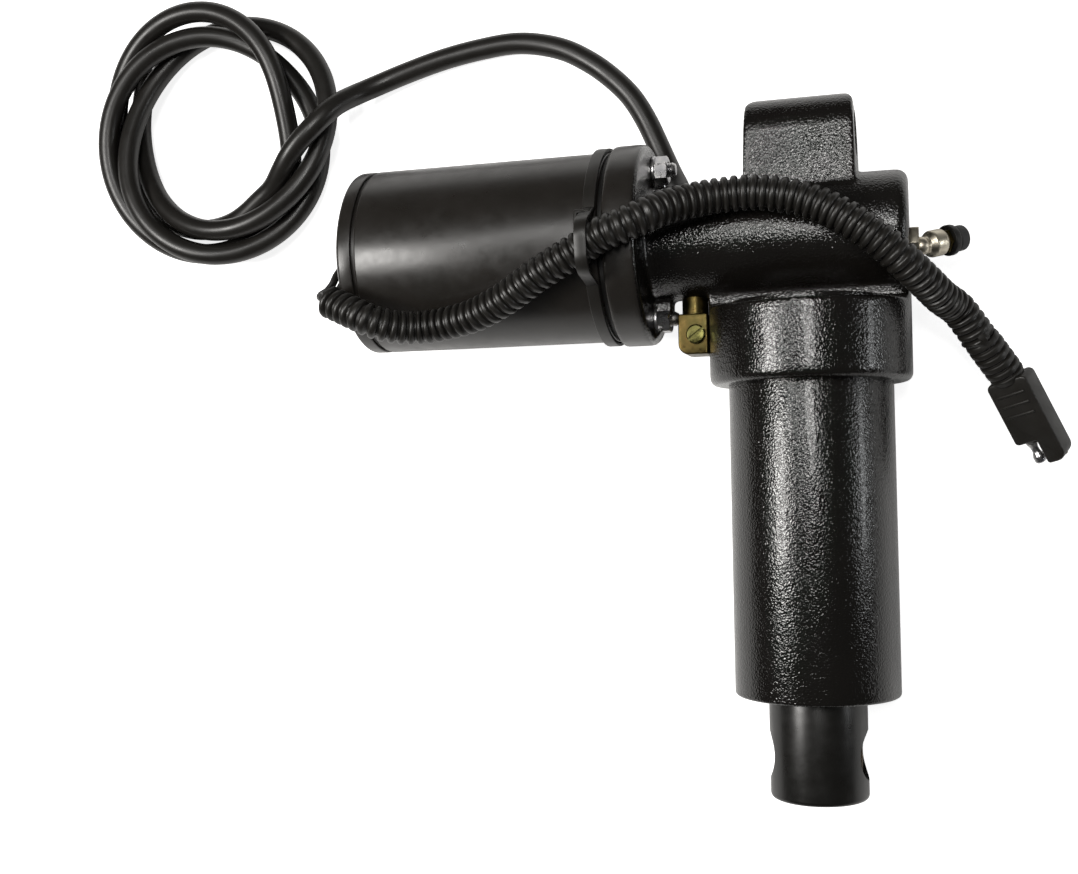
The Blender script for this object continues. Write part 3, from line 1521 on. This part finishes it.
@dataclass
class ReleaseValve:
    """The yellow manual release valve under the neck, with its slotted screw."""

    left: float = -50.3
    right: float = -38.6
    top: float = 29.0
    bottom: float = 45.0
    half: float = 7.0
    stub_r: float = 5.2
    stub_x: float = VALVE_X
    screw: Vector = spot(-43.1, -75.7, 7.0)
    screw_r: float = 3.0
    screw_head_r: float = 3.8
    slot_size: Triple = (10.0, 1.2, 2.0)
    slot_turn: float = 38.0

    def build(self) -> None:
        """Makes the valve block and its screw."""
        top, bottom, hole = MOTOR_Y - self.top, MOTOR_Y - self.bottom, moved(self.screw)
        outline = rounded([(self.right, top, 0.6), (self.left, top, 0.8),
                           (self.left, bottom, 4.0), (self.right, bottom, 0.6)], closed=True)
        blank = raised(outline, 2 * self.half, lifted(-self.half))
        body = Piece("valve_block_yellow", soften(blank, 0.6, 3, 50))
        body.cut(Cut.JOIN, disc(self.stub_r, 9, on_ram(59.7, self.stub_x), 48, 0.3))
        shank, head = self.screw_r, self.screw_head_r
        body.cut(Cut.TAKE, disc(shank + 0.05, 14, hole @ lifted(-11), 40), lathe([
            (0, -0.6), (shank + 0.1, -0.6), (head + 0.4, 0.4), (head + 0.4, 2), (0, 2)],
            hole, 48))
        body.done(Finishes.yellow, "release_valve")
        screw = Piece("valve_screw", lathe([
            (0, -10.7), (shank - 0.1, -10.7, 0.4), (shank, -0.5), (shank, 0.05, 0.1),
            (head, 0.05, 0.1), (head, 2.0, 0.7), (0, 2.0)], hole, 48, 3))
        screw.cut(Cut.TAKE, block(self.slot_size, 0, hole @ lifted(2.0)
                                  @ turned(self.slot_turn, "Z")))
        screw.done(Finishes.olive_zinc, "release_screw", body="release_screw")


@dataclass
class FillFitting:
    """The metal filling fitting with its seat and its rubber cap."""

    face_x: float = TUBE_END
    elbow: Vector = spot(42.6, MOTOR_Y - 6.6, -1.5)
    port_y: float = PORT_Y
    bore_r: float = 2.05
    neck: float = 2.8
    collar: float = 8.0
    base_flats: float = 11.0
    seat_flats: float = 8.6
    seat: float = 1.5
    pitch: float = 38.0
    rise: float = 16.0

    def place(self, height: float = 0.0) -> Matrix:
        """Returns the place at a height over the elbow, with z pointing out of it."""
        return (moved(self.elbow) @ turned(self.rise, "Z") @ turned(self.pitch, "Y")
                @ turned(90, "Y") @ lifted(height))

    def build(self) -> None:
        """Makes the fitting and its seat."""
        port = moved((0, self.port_y, 0))
        neck, top = self.neck, self.neck + self.collar
        body = Piece("fill_nipple", soften(raised(
            hexagon(self.base_flats, 12), 3.5, on_motor(self.face_x) @ port), 0.35, 2))
        ball = bmesh.new()
        bmesh.ops.create_uvsphere(ball, u_segments=48, v_segments=24, radius=3.6,
                                  matrix=self.place())
        shank = lathe([
            (0, 0), (3.3, 0), (3.3, neck - 0.4, 0.4), (3.9, neck + 0.2, 0.6),
            (5.2, neck + 1.4, 1.6), (5.2, neck + 6.4, 1.4), (4.0, top, 0.2), (0, top)],
            self.place(), 56)
        body.cut(Cut.JOIN, disc(4.0, 8, on_motor(self.face_x - 6) @ port, 32), ball, shank)
        body.cut(Cut.TAKE, disc(self.bore_r, 12, self.place(neck + 1.7), 32))
        body.done(Finishes.fitting, "fill_fitting", crease=28)
        seat = Piece("fill_seat_yellow", soften(raised(
            hexagon(self.seat_flats, 20), self.seat, self.place(top)), 0.25, 2))
        seat.cut(Cut.TAKE, disc(self.bore_r, 6, self.place(top - 2), 32))
        seat.done(Finishes.yellow, "fill_seat", crease=28)
        self.cap(self.place(top + self.seat))

    def cap(self, place: Matrix) -> None:
        """Makes the cap, a disc with its stem and a knob.

        Args:
            place: Its place on the seat.
        """
        Piece("cap_disc", lathe([
            (0, -6), (2.0, -6, 0.5), (2.0, 0), (6.0, 0, 0.5), (6.0, 3.0, 1.0), (3.0, 3.0),
            (0, 3.0)], place, 64, 4)).done(Finishes.rubber, "fill_cap", body="fill_cap")
        Piece("cap_knob", lathe([
            (0, 2.0), (4.0, 2.0), (4.0, 3.4, 0.4), (5.0, 3.9, 0.6), (5.0, 7.9, 1.7),
            (3.4, 7.9, 0.4), (3.1, 7.6, 0.3), (0, 7.6)], place, 56)).done(
            Finishes.knob, body="fill_cap")


# ---- studio

@dataclass
class Studio:
    """The camera, the lamps, the world and the floor, whose glow only the camera sees."""

    lamps = (
        ("overhead", (0.05, 0.05, 1.0), (0.24, 0.16), 3.4, (1.0, 0.985, 0.96), (0, 0, 0)),
        ("left_window", (-0.80, -0.10, 0.95), (0.36, 0.30), 10.5, (1.0, 0.98, 0.95),
         (0, -0.06, 0)),
        ("far_strip", (-0.30, 0.20, 1.0), (0.70, 0.10), 2.5, (1.0, 0.99, 0.97),
         (-0.2, 0.05, 0)),
        ("right_low", (0.98, -0.08, 0.26), (0.30, 0.12), 1.3, (0.97, 0.99, 1.0),
         (0, -0.10, 0)))
    floor_glow: float = 0.85
    focal_px: float = 1341.023
    width_px: float = 1078.0
    eye: Vector = spot(41.529, -132.111, 528.677)
    right: Vector = spot(0.96100633, -0.01680752, -0.27601512)
    up: Vector = spot(0.025115, 0.99933087, 0.02659057)
    ahead: Vector = spot(-0.27538351, 0.03248582, -0.9607854)

    def camera(self) -> None:
        """Makes the camera at the photograph's viewing angle."""
        data = bpy.data.cameras.new("studio_camera")
        data.sensor_fit, data.sensor_width = "HORIZONTAL", 36.0
        data.lens = self.focal_px / self.width_px * data.sensor_width
        data.clip_start, data.clip_end = 0.01, 50.0
        camera = new_object("studio_camera", data)
        turn = Matrix((self.right, self.up, -self.ahead)).transposed().to_4x4()
        camera.matrix_world = moved(self.eye * MM) @ turn
        bpy.context.scene.camera = camera

    def lamp(self, name: str, at: Sequence[float], size: Sequence[float], watts: float,
             colour: Sequence[float], toward: Sequence[float]) -> None:
        """Hangs a soft lamp.

        Args:
            name: The lamp's name.
            at: Its place in metres.
            size: Its width and length in metres.
            watts: Its power.
            colour: Its colour.
            toward: The point that it faces.
        """
        data = bpy.data.lights.new(name, "AREA")
        data.shape, (data.size, data.size_y) = "RECTANGLE", size
        data.energy, data.color = watts, colour
        lamp = new_object(name, data)
        lamp.location = at
        way = Vector(toward) - Vector(at)
        lamp.rotation_euler = way.to_track_quat("-Z", "Y").to_euler()

    def world(self) -> None:
        """Sets the pale surroundings."""
        world = bpy.data.worlds.new("pale_room")
        world.use_nodes = True
        feed(world.node_tree.nodes["Background"],
             {"Color": (1.0, 0.99, 0.975, 1.0), "Strength": 0.06})
        bpy.context.scene.world = world

    def floor(self) -> None:
        """Makes the plain pale table."""
        bm = bmesh.new()
        bmesh.ops.create_grid(bm, x_segments=1, y_segments=1, size=6.0,
                              matrix=lifted(TABLE_Z * MM - 0.0002))
        mesh = bpy.data.meshes.new("table")
        closed_up(bm, mesh)
        table = new_object("table", mesh)
        material = bpy.data.materials.new("pale_table")
        material.use_nodes = True
        tree = material.node_tree
        path = add_node(tree, "LightPath", {})
        glow = add_node(tree, "Math", {0: path.outputs["Is Camera Ray"], 1: self.floor_glow},
                        "MULTIPLY")
        feed(tree.nodes["Principled BSDF"], {
            "Base Color": (0.93, 0.93, 0.93, 1.0), "Roughness": 0.9, "Specular IOR Level": 0.1,
            "Emission Color": (1, 1, 1, 1), "Emission Strength": glow.outputs[0]})
        mesh.materials.append(material)

    def build(self) -> None:
        """Sets up everything but the camera."""
        for lamp in self.lamps:
            self.lamp(*lamp)
        self.world()
        self.floor()
        bpy.context.scene.view_settings.view_transform = "Standard"


def dress_inside(nodes: dict[str, Object], record: dict) -> None:
    """Dresses every solid that no piece stands for.

    Args:
        nodes: The part's solids by name.
        record: The part's record.
    """
    finishes = Finishes.by_slot()
    slots = {s["node"]: s["material_slot"] for s in record.get("subparts", [])}
    for name, obj in nodes.items():
        finish = finishes.get(slots.get(name, ""), Finishes.dark_steel)
        if not obj.material_slots:
            obj.data.materials.append(finish.make())
        for slot in obj.material_slots:
            slot.material = finish.make()


def main() -> None:
    """Builds the whole unit and its studio."""
    logging.basicConfig(level=logging.INFO, format="%(relativeCreated)d %(message)s")
    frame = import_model()
    studio = Studio()
    studio.camera()
    cable = PowerCable()
    cable.build()
    MotorLeads(Plug()).build()
    Housing().build(cable)
    Ram().build()
    Motor().build()
    Fasteners().build()
    CableTie().build()
    ReleaseValve().build()
    FillFitting().build()
    dress_inside(frame["nodes"], frame["record"])
    studio.build()


if __name__ == "__main__":
    main()
